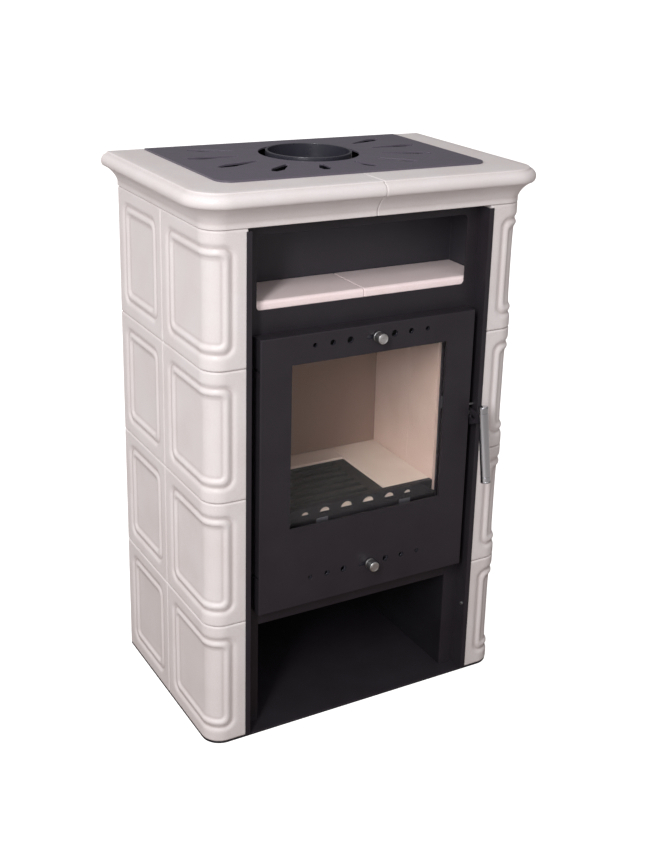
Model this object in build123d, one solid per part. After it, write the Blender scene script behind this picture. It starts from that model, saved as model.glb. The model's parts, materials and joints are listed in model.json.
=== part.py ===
from build123d import *
import math
import os

# Free-standing tiled wood stove. Millimetres, +Z up, +X to the right seen from the front,
# +Y to the back. The origin is the middle of the base plate's underside.
# Depths are given behind the front plane of the tiles, heights above the lowest tile's foot.

# ---------------------------------------------------------------- tiled body
body_w = 587.0            # over the side tiles
body_d = 373.5            # front plane of the tiles to their back edge
corner_r = 34.0           # rounding of the two front corners, in plan
row_h = 222.5             # one course of tiles, joint included
rows = 4
base_h = 4.0              # base plate
base_inset = 1.0
joint = 0.8               # open joint between tiles
tile_depth = 28.0         # tile with its rim at the back
tile_face = 12.0          # the tile's glazed face
tile_rim = 10.0           # width of the rim at the back
corner_leg = 180.5        # corner tile, length along the side
front_gap = 448.0         # clear width between the two front tiles

relief_margin = 19.0      # plain border round the sunk relief
groove_w = 10.0           # groove between the border and the roll
groove_depth = 3.2
roll_w = 11.0             # rounded frame between the groove and the panel
roll_step_w = 2.5         # the roll steps in by this on both sides
roll_step_h = 1.3
roll_drop = 0.6           # crest of the roll behind the border
panel_depth = 4.2
relief_corner = 22.0      # rounding of the relief's corners
panel_corner = 6.0        # the smallest rounding further in

# ---------------------------------------------------------------- cornice and top plate
cornice_h = 59.7
cornice_seat = 60.0       # how far the cornice reaches in under the top plate
cornice_core = 30.0       # depth of the moulded part behind the tile face
cornice_ledge_h = 31.0    # height of the inner ledge, down from the top
# Points of the moulding: distance out from the tile face, height above its foot.
fascia_top = (0.0, 10.0)
cove_middle = (11.0, 26.5)
cove_top = (25.6, 36.6)
nose_out = (28.1, 46.5)
nose_top = (19.0, 56.5)
crown_edge = (15.0, cornice_h)

plate_t = 3.0
plate_lap = 14.5          # how far the top plate lies on the cornice's side ledges
plate_front = 50.0        # depth of the plate's front edge
plate_back = 362.0
plate_corner = 26.0
plate_hole_r = 87.0
slot_inner_w = 6.0
slot_outer_w = 9.0
slot_wide_at = 0.72       # share of the slot's length, from the inner end
# Each slot: direction from the flue's centre in degrees, inner radius, outer radius, width.
# The left half of the plate is a mirror image.
air_slots = [
    (24.5, 131.0, 206.0, 20.0),
    (2.5, 131.0, 219.0, 20.0),
    (-20.5, 128.0, 215.0, 22.0),
    (-45.5, 122.0, 190.0, 22.0),
    (-73.0, 108.0, 156.0, 20.0),
]

flue_depth = 234.5        # flue's centre behind the front plane
flue_r = 70.5             # inner radius
flue_wall = 4.0           # the collar is a spigot, 149 mm over the outside
flue_stand = 4.0          # the collar's rim above the top plate
flue_flange_w = 12.0
flue_flange_t = 3.0

# ---------------------------------------------------------------- steel front
recess = 29.5             # the front panel lies this far behind the tiles
panel_t = 2.5
panel_drop = 5.0          # panel and posts end this far under the cornice
post_step = 5.0           # post's inner face to the edge of the front tiles
post_t = 2.0
lip_t = 1.5
lip_w = 9.0
post_screw_depth = 8.0
post_screw_z = 135.0
post_screw_r = 2.0
post_screw_head_r = 3.5
post_screw_head_t = 1.8
side_t = 2.0              # side and back sheets of the inner frame
side_clear = 1.5          # inner frame to the back of the tiles

niche_w = 393.0           # cut-out in the front panel
niche_under = 14.0        # firebox roof to the cut-out
niche_over = 14.5         # cut-out to the panel's top edge
niche_corner = 7.0
niche_box_w = 476.0       # the box behind the cut-out is wider
niche_depth = 106.5
niche_t = 1.5
shelf_t = 16.0
shelf_below = 2.5         # the niche floor lies this far under the cut-out's edge
shelf_edge_r = 6.0
shelf_clear = 0.5

store_h = 191.0           # wood store
store_depth = 318.0
store_t = 2.0

back_inset = 2.0          # back sheet to the back edge of the tiles
back_flange = 30.0
back_clear = 0.5
vent_count = 9
vent_w = 8.0
vent_h = 60.0
vent_pitch = 36.0
vent_heights = [90.0, 815.0]

# ---------------------------------------------------------------- firebox
box_t = 4.0
box_w = 385.0
box_depth = 290.0         # from the back of the front panel
air_space_h = 51.0        # wood store roof to the ash floor
ash_h = 107.5             # ash floor to the deck under the bricks
mouth_side = 31.5         # firebox beside its mouth
mouth_sill = 2.0
mouth_h = 440.0
box_over = 45.0           # firebox over its mouth

brick_t = 25.0
floor_brick_t = 27.5
brick_gap = 0.5
brick_drop = 40.0         # the side bricks end this far under the mouth's top
floor_front = 56.0        # the floor bricks start here
front_brick_w = 236.0     # narrow brick behind the light holes
front_brick_h = 25.5
side_brick_front = 48.0
side_brick_split = 136.0
floor_gap = 0.5           # retainer to the bricks behind it
hearth_back = 254.5       # front face of the back brick
grate_right = 70.0        # the grate lies off the middle, to the left
grate_w = 214.0
grate_front = 57.0
grate_back = 206.5
grate_h = 24.0
grate_ledge = 5.0
grate_bar = 13.3
grate_slot = 11.0
grate_rim = 7.5
grate_side_rim = 28.0
baffle_t = 15.0
baffle_front = 110.0

retainer_t = 3.0
retainer_h = 32.0
retainer_slope_w = 34.0   # the top slopes down at both ends
retainer_slope_h = 20.0
retainer_corner = 12.0
moon_z = 19.5             # flat foot of the light holes above the deck
# Light holes, in mirrored pairs: distance from the middle, half width, height.
moon_holes = [(21.7, 11.4, 10.0), (64.4, 9.8, 8.3), (102.3, 6.9, 6.0)]
rail_depth = 10.0         # steel rail in front of the floor bricks
rail_t = 3.0

pan_w = 300.0
pan_front = 48.0
pan_back = 288.0
pan_h = 76.0
pan_t = 1.5
pan_tab_w = 90.0
pan_tab_d = 12.0

# ---------------------------------------------------------------- door
door_side = 15.5          # gap between the door and each post
door_under = 25.0         # the door covers this much under the mouth
door_over = 20.0
door_t = 3.0
door_depth = 27.5
door_edge_r = 2.5
window_side = 55.75       # door beside, under and over its window
window_under = 147.5
window_over = 49.0
glass_t = 4.0
glass_lap = 12.0
glass_seal_t = 2.0
glass_seal_w = 10.0
glass_seal_in = 1.0       # the flat seal stays this far inside the glass's edge
back_frame_depth = 19.0
door_seal_w = 10.0
door_seal_gap = 6.0       # mouth to the inside of the rope seal
seal_clear = 0.3

clip_w = 22.0
clip_x = 82.0
clip_foot = 24.0
clip_t = 1.5
clip_show = 5.0           # the bottom clips reach this far into the window
side_clip_rise = 174.5    # middle of the side clips over the window's lower edge
clip_gap = 0.5
screw_r = 2.0
screw_head_r = 4.0
screw_head_t = 2.0
screw_clear = 0.1

air_upper_drop = 20.5     # upper air holes to the door's top edge
air_lower_rise = 49.8     # lower air holes to the door's bottom edge
# Air holes: distance from the door's middle, radius. They lie in mirrored pairs.
air_holes = [(42.0, 6.0), (74.5, 5.0), (107.0, 4.0)]
slide_travel = 16.6
slide_h = 18.0
slide_l = 272.0
slide_t = 2.0
slide_clear = 0.3
lower_lag = 3.0           # the lower slide covers this much of its holes at rest
guide_l = 300.0
guide_t = 1.5
guide_lip = 4.0
guide_clear = 0.5
deflector_back = 12.5     # sheet behind the upper slide that turns its air down over the glass
deflector_drop = 30.0
neck_r = 3.2
neck_clear = 0.3
knob_r = 9.0
knob_l = 19.0
knob_clear = 1.0
knob_edge = 1.0

# ---------------------------------------------------------------- hinge
hinge_edge = 7.5          # hinge axis inside the door's left edge
hinge_depth = 12.0
hinge_pin_r = 3.5
hinge_arm_r = 5.0         # half width of the arm that carries the pin
hinge_arm_h = 5.0
hinge_gap = 0.3           # the door's ear stands this far above the arm
hinge_clear = 0.05
hinge_ear_h = 5.0
hinge_pin_over = 3.0      # the pin stands out above the ear
hinge_slot_clear = 0.7    # room under the arm where it passes the door's flange
hinge_slot_front = 3.5
hinge_slot_in = 6.0       # the slot reaches this far to the right of the axis
hinge_low_rise = 65.0     # lower arm over the door's bottom edge
hinge_top_drop = 55.0     # upper arm under the door's top edge

# ---------------------------------------------------------------- latch and handle
latch_edge = 7.5          # middle of the lever plate to the door's right edge
lever_t = 4.0
pivot_depth = 12.0
pivot_rise = 293.0        # over the door's bottom edge
pivot_r = 3.0
pivot_clear = 0.05
pivot_shoulder_r = 5.5
pivot_head_r = 4.5
pivot_head_t = 2.5
lever_play = 0.3
# Outline of the lever plate: depth and height from the pivot, starting at the horn.
lever_outline = [
    (5.5, 10.4), (8.5, 10.4), (11.0, 4.0), (9.0, -8.0), (-1.0, -24.0), (-29.0, -12.0),
    (-47.0, -11.0), (-45.0, 5.0), (-25.0, 6.0), (-2.0, 8.5),
]
lever_slot_back = 6.0     # the slot ends this far in front of the pivot
lever_slot_l = 15.0
lever_slot_top = -1.5     # from the pivot's height
lever_slot_h = 7.0
lever_slot_r = 3.0
catch_y = 2.0             # the catch peg, from the pivot
catch_z = 13.5
catch_r = 2.5
grip_r = 8.0
grip_bore_r = 6.5
grip_top_depth = -29.0    # the grip's axis in front of the tile plane, at its top
grip_top_rise = 24.0      # from the pivot's height
grip_low_depth = -51.0
grip_low_rise = -112.0
cap_r = 9.0
cap_t = 3.0
cap_plug_l = 12.0
cap_clear = 0.1
cap_edge = 0.8

# ---------------------------------------------------------------- derived places
front_y = -body_d / 2
back_y = body_d / 2
side_x = body_w / 2
tiles_h = rows * row_h
plate_z = tiles_h + cornice_h
post_x = front_gap / 2 - post_step
frame_inset = tile_depth + side_clear
frame_x = side_x - frame_inset
panel_back = recess + panel_t
panel_top = tiles_h - panel_drop
back_sheet = body_d - back_inset
ledge_x = side_x - cornice_seat
plate_x = ledge_x + plate_lap
store_x = box_w / 2 - store_t
store_roof = store_h + store_t
ash_floor = store_roof + air_space_h
deck_z = ash_floor + ash_h
deck_top = deck_z + box_t
mouth_z = ash_floor + box_t + mouth_sill
mouth_top = mouth_z + mouth_h
box_top = mouth_top + box_over
brick_top = mouth_top - brick_drop
niche_z = box_top + niche_under
niche_top = panel_top - niche_over
inner_x = box_w / 2 - box_t
hearth_x = inner_x - brick_t
box_back = panel_back + box_depth
box_inner_front = panel_back + box_t
box_inner_back = box_back - box_t
retainer_back = panel_back + retainer_t
rail_front = floor_front - floor_gap - rail_depth
grate_left = grate_right - grate_w
mouth_x = box_w / 2 - mouth_side
door_x = post_x - door_side
door_z = mouth_z - door_under
door_top = mouth_top + door_over
door_inner_x = door_x - door_t
window_x = door_x - window_side
window_z = door_z + window_under
window_top = door_top - window_over
side_clip_z = window_z + side_clip_rise
air_upper_z = door_top - air_upper_drop
air_lower_z = door_z + air_lower_rise
hinge_x = door_x - hinge_edge
hinge_heights = [door_z + hinge_low_rise, door_top - hinge_top_drop]
latch_x = door_x + latch_edge
pivot_z = door_z + pivot_rise
grip_top_z = pivot_z + grip_top_rise
grip_low_z = pivot_z + grip_low_rise
glass_front = door_t + glass_seal_t
glass_back = glass_front + glass_t
knob_x = slide_travel / 2
lever_x0 = latch_x - lever_t / 2
lever_x1 = latch_x + lever_t / 2


def fy(depth):
    """Y of a place that lies this far behind the tiles' front plane."""
    return front_y + depth


def tz(height):
    """Z of a place that lies this far above the foot of the lowest tile."""
    return base_h + height


def block(x0, x1, d0, d1, h0, h1):
    """Box between two X places, two depths and two heights."""
    middle = Pos((x0 + x1) / 2, fy((d0 + d1) / 2), tz((h0 + h1) / 2))
    return middle * Box(abs(x1 - x0), abs(d1 - d0), abs(h1 - h0))


def rod_x(x0, x1, depth, height, radius):
    """Cylinder along X."""
    middle = Pos((x0 + x1) / 2, fy(depth), tz(height))
    return middle * Rot(0, 90, 0) * Cylinder(radius, abs(x1 - x0))


def rod_y(x, d0, d1, height, radius):
    """Cylinder along Y."""
    return Pos(x, fy((d0 + d1) / 2), tz(height)) * Rot(90, 0, 0) * Cylinder(radius, d1 - d0)


def rod_z(x, depth, h0, h1, radius):
    """Cylinder along Z."""
    return Pos(x, fy(depth), tz((h0 + h1) / 2)) * Cylinder(radius, h1 - h0)


def prism_x(x0, x1, d0, d1, h0, h1, radius):
    """Prism along X with a rounded rectangular outline."""
    outline = Pos(fy((d0 + d1) / 2), tz((h0 + h1) / 2)) * RectangleRounded(d1 - d0, h1 - h0, radius)
    return extrude(Plane.YZ.offset(x0) * outline, x1 - x0)


def prism_y(x0, x1, d0, d1, h0, h1, radius):
    """Prism along Y with a rounded rectangular outline."""
    outline = Pos((x0 + x1) / 2, tz((h0 + h1) / 2)) * RectangleRounded(x1 - x0, h1 - h0, radius)
    return extrude(Plane.XZ.offset(-fy(d1)) * outline, d1 - d0)


def body_plan(inset):
    """Plan of the tiled body, drawn in by inset, with its two front corners rounded."""
    depth = body_d - inset
    plan = Pos(0, back_y - depth / 2) * Rectangle(body_w - 2 * inset, depth)
    front = plan.vertices().sort_by(Axis.Y)[0:2]
    radius = corner_r - inset
    return fillet(front, radius) if radius > 0 else plan


def wall(outer, inner, h0, h1):
    """Upright wall between two insets of the body's plan."""
    return Pos(0, 0, tz(h0)) * extrude(body_plan(outer) - body_plan(inner), h1 - h0)


def mirrored(shape):
    """The same shape on the other side of the middle plane."""
    return mirror(shape, Plane.YZ)


def pair(shape):
    """A left piece and its mirror image, as two solids."""
    return Compound([shape, mirrored(shape)])


# ---------------------------------------------------------------- tiles
def relief_steps():
    """Sunk rings of a tile's face: near and far depth of what goes, outer and inner margin or None."""
    roll = relief_margin + groove_w
    panel = roll + roll_w
    return [
        (0, groove_depth, relief_margin, roll),
        (0, roll_drop + roll_step_h, roll, roll + roll_step_w),
        (0, roll_drop, roll + roll_step_w, panel - roll_step_w),
        (0, roll_drop + roll_step_h, panel - roll_step_w, panel),
        (0, panel_depth, panel, None),
    ]


def relief_r(margin):
    """Corner rounding of the relief's outline at this margin."""
    return max(relief_corner - margin + relief_margin, panel_corner)


def flat_tile():
    """Left side tile of the lowest course."""
    d0 = corner_leg + joint / 2
    top = row_h - joint
    tile = block(-side_x, -side_x + tile_depth, d0, body_d, 0, top)
    d_in, d_out = d0 + tile_rim, body_d - tile_rim
    tile = tile - block(-side_x + tile_face, -side_x + tile_depth, d_in, d_out, tile_rim, top - tile_rim)
    for near, far, m0, m1 in relief_steps():
        x0, x1 = -side_x + near, -side_x + far
        ring = prism_x(x0, x1, d0 + m0, body_d - m0, m0, top - m0, relief_r(m0))
        if m1:
            ring = ring - prism_x(x0, x1, d0 + m1, body_d - m1, m1, top - m1, relief_r(m1))
        tile = tile - ring
    return tile


def corner_tile():
    """Left front corner tile of the lowest course, rounded in plan."""
    edge = -front_gap / 2
    side_end = corner_leg - joint / 2
    top = row_h - joint
    tile = wall(0, tile_depth, 0, top) & block(-body_w, edge, -body_d, side_end, 0, top)
    hollow = wall(tile_face, tile_depth, tile_rim, top - tile_rim)
    tile = tile - (hollow & block(-body_w, edge - tile_rim, -body_d, side_end - tile_rim, 0, top))

    def inside(margin):
        radius = relief_r(margin)
        side = prism_x(-body_w, 0, -body_d, side_end - margin, margin, top - margin, radius)
        return side & prism_y(-body_w, edge - margin, -body_d, body_d, margin, top - margin, radius)

    for near, far, m0, m1 in relief_steps():
        ring = wall(near, far, 0, top) & inside(m0)
        tile = tile - (ring - inside(m1) if m1 else ring)
    return tile


def tiles():
    """Both columns of both kinds of tile, one node each, counted from the foot."""
    found = {}
    for kind, first in (("flat_tile", flat_tile()), ("corner_tile", corner_tile())):
        for course in range(rows):
            tile = Pos(0, 0, course * row_h) * first
            found[f"{kind}_left_{course + 1}"] = tile
            found[f"{kind}_right_{course + 1}"] = mirrored(tile)
    return found


def cornice_section():
    """Section of the cornice, X outwards from the tile face and Y up."""
    foot = Polyline(fascia_top, (0, 0), (-cornice_core, 0), (-cornice_core, cornice_h), crown_edge)
    cove = ThreePointArc(fascia_top, cove_middle, cove_top)
    nose = ThreePointArc(cove_top, nose_out, nose_top)
    crown = Line(nose_top, crown_edge)
    return make_face(foot + cove + nose + crown)


def cornice_left():
    """Left half of the cornice: one moulded length with a rounded corner and an inner ledge."""
    start = (-joint / 2, front_y)
    bend_0 = (-side_x + corner_r, front_y)
    bend_1 = (-side_x, front_y + corner_r)
    path = Line(start, bend_0)
    path = path + TangentArc(bend_0, bend_1, tangent=(-1, 0))
    path = path + Line(bend_1, (-side_x, back_y))
    path = Pos(0, 0, tz(tiles_h)) * path
    plane = Plane(origin=(start[0], start[1], tz(tiles_h)), x_dir=(0, -1, 0), z_dir=(-1, 0, 0))
    moulding = sweep(plane * cornice_section(), path=path)
    ledge = wall(cornice_core, cornice_seat, plate_z - cornice_ledge_h, plate_z)
    ledge = ledge & block(-body_w, -joint / 2, -body_d, body_d, tiles_h, plate_z)
    return moulding + ledge


def shelf_tile_left():
    """Left tile on the niche floor, with a rounded front edge."""
    low = niche_z - shelf_below
    d0 = panel_back + shelf_clear
    d1 = panel_back + niche_depth - shelf_clear
    tile = block(-niche_box_w / 2 + shelf_clear, -joint / 2, d0, d1, low, low + shelf_t)
    front_top = tile.edges().filter_by(Axis.X).sort_by(Axis.Y)[0:2].sort_by(Axis.Z)[-1]
    return fillet(front_top, shelf_edge_r)


# ---------------------------------------------------------------- base, frame and sheets
def base_plate():
    """Flat plate under the tiles, rounded like them."""
    return extrude(body_plan(base_inset), base_h)


def front_post_left():
    """Angle that covers the front edge of the left tiles."""
    web = block(-post_x - post_t, -post_x, -lip_t, recess, 0, panel_top)
    lip = block(-post_x - lip_w, -post_x, -lip_t, 0, 0, panel_top)
    hole = rod_x(-post_x - post_t, -post_x, post_screw_depth, post_screw_z, post_screw_r)
    return web + lip - hole


def post_screws():
    """Screw in the foot of each post."""
    shank = rod_x(-post_x - post_t, -post_x, post_screw_depth, post_screw_z, post_screw_r)
    head_x = -post_x + post_screw_head_t
    return pair(shank + rod_x(-post_x, head_x, post_screw_depth, post_screw_z, post_screw_head_r))


def front_panel():
    """Steel sheet between the posts, with the niche, fire and wood openings."""
    panel = block(-frame_x, frame_x, recess, panel_back, 0, panel_top)
    panel = panel & extrude(Pos(0, 0, tz(0)) * body_plan(frame_inset), panel_top)
    niche = prism_y(-niche_w / 2, niche_w / 2, 0, body_d, niche_z, niche_top, niche_corner)
    mouth = block(-mouth_x, mouth_x, 0, body_d, mouth_z, mouth_top)
    store = block(-store_x, store_x, 0, body_d, 0, store_h)
    return panel - niche - mouth - store


def frame_sides():
    """Two upright side sheets behind the tiles."""
    sheet = wall(frame_inset, frame_inset + side_t, 0, panel_top)
    return pair(sheet & block(-body_w, -post_x - post_t, panel_back, back_sheet - side_t, 0, panel_top))


def back_panel():
    """Back sheet with two rows of vent slots and a flange under the top plate."""
    d0 = back_sheet - side_t
    half = ledge_x - back_clear
    panel = block(-frame_x, frame_x, d0, back_sheet, 0, panel_top)
    panel = panel + block(-half, half, d0, back_sheet, 0, plate_z)
    panel = panel + block(-half, half, back_sheet - back_flange, back_sheet, plate_z - side_t, plate_z)
    for number in range(vent_count):
        x = (number - (vent_count - 1) / 2) * vent_pitch
        for height in vent_heights:
            h0, h1 = height - vent_h / 2, height + vent_h / 2
            panel = panel - block(x - vent_w / 2, x + vent_w / 2, d0, back_sheet, h0, h1)
    return panel


def air_slot(angle, r_in, r_out, width):
    """Long pointed slot that radiates from the flue, as a flat outline."""
    r_wide = r_in + (r_out - r_in) * slot_wide_at
    outline = Polygon(
        (r_in, -slot_inner_w / 2), (r_wide, -width / 2), (r_out, -slot_outer_w / 2),
        (r_out, slot_outer_w / 2), (r_wide, width / 2), (r_in, slot_inner_w / 2),
        align=None,
    )
    return Rot(0, 0, angle) * outline


def top_plate():
    """Top plate with a hole for the flue and radiating warm air slots."""
    depth = plate_back - plate_front
    plan = Pos(0, fy(plate_front + depth / 2)) * Rectangle(2 * plate_x, depth)
    plan = fillet(plan.vertices().sort_by(Axis.Y)[0:2], plate_corner)
    flue = Pos(0, fy(flue_depth))
    plan = plan - flue * Circle(plate_hole_r)
    for angle, r_in, r_out, width in air_slots:
        plan = plan - flue * air_slot(angle, r_in, r_out, width)
        plan = plan - flue * air_slot(180 - angle, r_in, r_out, width)
    return Pos(0, 0, tz(plate_z)) * extrude(plan, plate_t)


def flue_collar():
    """Flue spigot, from the firebox roof up through the top plate."""
    top = plate_z + plate_t + flue_stand
    outer = flue_r + flue_wall
    collar = rod_z(0, flue_depth, box_top, top, outer)
    collar = collar + rod_z(0, flue_depth, box_top, box_top + flue_flange_t, outer + flue_flange_w)
    return collar - rod_z(0, flue_depth, box_top, top, flue_r)


def niche_box():
    """Folded box behind the niche cut-out, open to the front."""
    half = niche_box_w / 2
    low = niche_z - shelf_below
    high = niche_top + shelf_below
    deep = panel_back + niche_depth
    shell = block(-half - niche_t, half + niche_t, panel_back, deep + niche_t, low - niche_t, high + niche_t)
    return shell - block(-half, half, panel_back, deep, low, high)


def wood_store_liner():
    """Lining of the wood store: two sides, roof and back."""
    outer = store_x + store_t
    deep = panel_back + store_depth
    shell = block(-outer, outer, panel_back, deep + store_t, 0, store_roof)
    return shell - block(-store_x, store_x, panel_back, deep, 0, store_h)


# ---------------------------------------------------------------- firebox
def grate_block(margin, h0, h1):
    """Block as large as the grate's place, smaller by margin all round."""
    d0, d1 = grate_front + margin, grate_back - margin
    return block(grate_left + margin, grate_right - margin, d0, d1, h0, h1)


def firebox_body():
    """Welded steel firebox: air space, ash floor, deck under the bricks, flue hole."""
    half = box_w / 2
    d0, d1 = box_inner_front, box_inner_back
    body = block(-half, half, panel_back, box_back, store_roof, box_top)
    body = body - block(-inner_x, inner_x, d0, d1, store_roof + box_t, ash_floor)
    body = body - block(-inner_x, inner_x, d0, d1, ash_floor + box_t, deck_z)
    body = body - block(-inner_x, inner_x, d0, d1, deck_top, box_top - box_t)
    body = body - block(-mouth_x, mouth_x, panel_back, d0, mouth_z, mouth_top)
    body = body + block(-mouth_x, mouth_x, panel_back, d0, deck_z, deck_top)
    body = body - grate_block(grate_ledge, deck_z, deck_top)
    return body - rod_z(0, flue_depth, box_top - box_t, box_top, flue_r)


def brick(x0, x1, d0, d1, h0, h1):
    """Fire brick, drawn in a little on every side but its foot and top."""
    gap = brick_gap / 2
    return block(x0 + gap, x1 - gap, d0 + gap, d1 - gap, h0, h1)


def floor_bricks():
    """Floor of the hearth: a brick on each side of the grate, one behind it, one behind the light holes."""
    low, high = deck_top, deck_top + floor_brick_t
    left = brick(-hearth_x, grate_left, floor_front, hearth_back, low, high)
    right = brick(grate_right, hearth_x, floor_front, hearth_back, low, high)
    back = brick(grate_left, grate_right, grate_back, hearth_back, low, high)
    half = front_brick_w / 2
    front = brick(-half, half, retainer_back + floor_gap, rail_front, low, low + front_brick_h)
    return Compound([left, right, back, front])


def side_bricks():
    """Two upright bricks on each side of the hearth."""
    front = brick(-inner_x, -hearth_x, side_brick_front, side_brick_split, deck_top, brick_top)
    back = brick(-inner_x, -hearth_x, side_brick_split, hearth_back, deck_top, brick_top)
    return Compound([front, back, mirrored(front), mirrored(back)])


def back_brick():
    """Wide upright brick at the back of the hearth."""
    return brick(-inner_x, inner_x, hearth_back, hearth_back + brick_t, deck_top, brick_top)


def rear_insulation():
    """Insulating board between the back brick and the steel wall."""
    return brick(-inner_x, inner_x, hearth_back + brick_t, box_inner_back, deck_top, brick_top)


def baffle():
    """Smoke baffle, resting on the side bricks and the back brick."""
    return brick(-inner_x, inner_x, baffle_front, box_inner_back, brick_top, brick_top + baffle_t)


def grate():
    """Cast grate with long slots from side to side."""
    high = deck_top + grate_h
    plate = grate_block(brick_gap, deck_top, high)
    left, right = grate_left + grate_side_rim, grate_right - grate_side_rim
    pitch = grate_bar + grate_slot
    room = grate_back - grate_front - 2 * grate_rim
    count = int((room + grate_bar) // pitch)
    first = (grate_front + grate_back - count * pitch + grate_bar) / 2
    for number in range(count):
        d0 = first + number * pitch
        plate = plate - block(left, right, d0, d0 + grate_slot, deck_top, high)
    return plate


def light_hole(x, half_w, height):
    """Half-moon hole with its flat side down."""
    d0, d1 = panel_back, retainer_back
    foot = deck_top + moon_z
    radius = (half_w ** 2 + height ** 2) / (2 * height)
    disc = rod_y(x, d0, d1, foot + height - radius, radius)
    return disc & block(x - half_w, x + half_w, d0, d1, foot, foot + height)


def log_retainer():
    """Low plate with half-moon light holes, and the steel rail behind it that edges the hearth."""
    d0, d1 = panel_back, retainer_back
    wide = mouth_x - brick_gap
    narrow = wide - retainer_slope_w
    foot, top = tz(deck_top), tz(deck_top + retainer_h)
    shoulder = top - retainer_slope_h
    right = [(wide, foot), (wide, shoulder), (narrow, top)]
    outline = Polygon(*right, *[(-x, z) for x, z in reversed(right)], align=None)
    plate = extrude(Plane.XZ.offset(-fy(d1)) * outline, retainer_t)
    upper = plate.edges().filter_by(Axis.Y).sort_by(Axis.Z)[-2:]
    plate = fillet(upper, retainer_corner)
    for distance, half_w, height in moon_holes:
        plate = plate - light_hole(distance, half_w, height)
        plate = plate - light_hole(-distance, half_w, height)
    long = hearth_x - brick_gap
    high = deck_top + floor_brick_t
    rail = block(-long, long, rail_front, rail_front + rail_depth, deck_top, high)
    rail = rail - block(-long, long, rail_front + rail_t, floor_front, deck_top, high - rail_t)
    return Compound([plate, rail])


def ash_pan():
    """Ash pan on the ash floor, with a finger tab at the front."""
    half = pan_w / 2
    low = ash_floor + box_t
    high = low + pan_h
    pan = block(-half, half, pan_front, pan_back, low, high)
    pan = pan - block(-half + pan_t, half - pan_t, pan_front + pan_t, pan_back - pan_t, low + pan_t, high)
    return pan + block(-pan_tab_w / 2, pan_tab_w / 2, pan_front - pan_tab_d, pan_front, high - pan_t, high)


# ---------------------------------------------------------------- door
def air_hole_row(height, d0, d1, shift):
    """The row of round air holes, moved sideways by shift."""
    row = []
    for distance, radius in air_holes:
        for x in (-distance + shift, distance + shift):
            row.append(rod_y(x, d0, d1, height, radius))
    return row


def neck_slot(height, d0, d1):
    """Slot that a knob's neck slides in."""
    radius = neck_r + neck_clear
    slot = block(-knob_x, knob_x, d0, d1, height - radius, height + radius)
    return slot + rod_y(-knob_x, d0, d1, height, radius) + rod_y(knob_x, d0, d1, height, radius)


def hinge_slots():
    """Slots in the door for the two hinge arms, deep enough for the whole swing."""
    found = []
    for height in hinge_heights:
        h0 = height - hinge_slot_clear
        h1 = height + hinge_arm_h + hinge_gap
        found.append(block(-door_x, -hinge_x + hinge_slot_in, hinge_slot_front, door_depth, h0, h1))
    return found


def door_panel():
    """Folded door skin with its flanges, window, air holes and slots."""
    skin = block(-door_x, door_x, 0, door_depth, door_z, door_top)
    front = skin.faces().sort_by(Axis.Y)[0]
    skin = fillet(front.edges(), door_edge_r)
    skin = skin - block(-door_inner_x, door_inner_x, door_t, door_depth, door_z + door_t, door_top - door_t)
    skin = skin - block(-window_x, window_x, 0, door_t, window_z, window_top)
    for height in (air_upper_z, air_lower_z):
        for hole in air_hole_row(height, 0, door_t, 0):
            skin = skin - hole
        skin = skin - neck_slot(height, 0, door_t)
    for slot in hinge_slots():
        skin = skin - slot
    return skin - rod_x(door_inner_x, door_x, pivot_depth, pivot_z, pivot_r)


def door_back_frame():
    """Flat ring inside the door that carries the rope seal."""
    d0, d1 = back_frame_depth, back_frame_depth + door_t
    frame = block(-door_inner_x, door_inner_x, d0, d1, door_z + door_t, door_top - door_t)
    frame = frame - block(-mouth_x, mouth_x, d0, d1, mouth_z, mouth_top)
    for slot in hinge_slots():
        frame = frame - slot
    return frame


def door_gasket():
    """Rope seal round the fire opening, on the door's back."""
    d0, d1 = back_frame_depth + door_t, recess - seal_clear
    found = []
    for grow in (door_seal_gap + door_seal_w, door_seal_gap):
        half = mouth_x + grow
        found.append(block(-half, half, d0, d1, mouth_z - grow, mouth_top + grow))
    return found[0] - found[1]


def window_block(grow, d0, d1):
    """Block as large as the window, larger by grow all round."""
    half = window_x + grow
    return block(-half, half, d0, d1, window_z - grow, window_top + grow)


def door_glass():
    """Ceramic glass behind the window."""
    return window_block(glass_lap, glass_front, glass_back)


def glass_gasket():
    """Flat seal between the door skin and the glass."""
    outer = glass_lap - glass_seal_in
    seal = window_block(outer, door_t, glass_front)
    return seal - window_block(outer - glass_seal_w, door_t, glass_front)


def clip_places():
    """Screw places of the glass clips: x, height and whether the clip stands under the glass."""
    away = glass_lap + clip_gap + clip_foot / 2
    low = window_z - away
    side = window_x + away
    under = [(-clip_x, low, True), (clip_x, low, True)]
    return under + [(-side, side_clip_z, False), (side, side_clip_z, False)]


def glass_clip(x, height, under):
    """Cranked clip: a foot on the door skin and a tongue behind the glass."""
    half_w, half_foot = clip_w / 2, clip_foot / 2
    back = glass_back + clip_t
    if under:
        foot = block(x - half_w, x + half_w, door_t, glass_back, height - half_foot, height + half_foot)
        tongue = block(x - half_w, x + half_w, glass_back, back, height - half_foot, window_z + clip_show)
    else:
        side = math.copysign(1, x)
        tip = side * (window_x + clip_gap)
        foot = block(x - half_foot, x + half_foot, door_t, glass_back, height - half_w, height + half_w)
        tongue = block(x + side * half_foot, tip, glass_back, back, height - half_w, height + half_w)
    return foot + tongue - rod_y(x, door_t, back, height, screw_r + screw_clear)


def glass_clips():
    """Four clips that hold the glass: two under it and one on each side."""
    return Compound([glass_clip(*place) for place in clip_places()])


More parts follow.
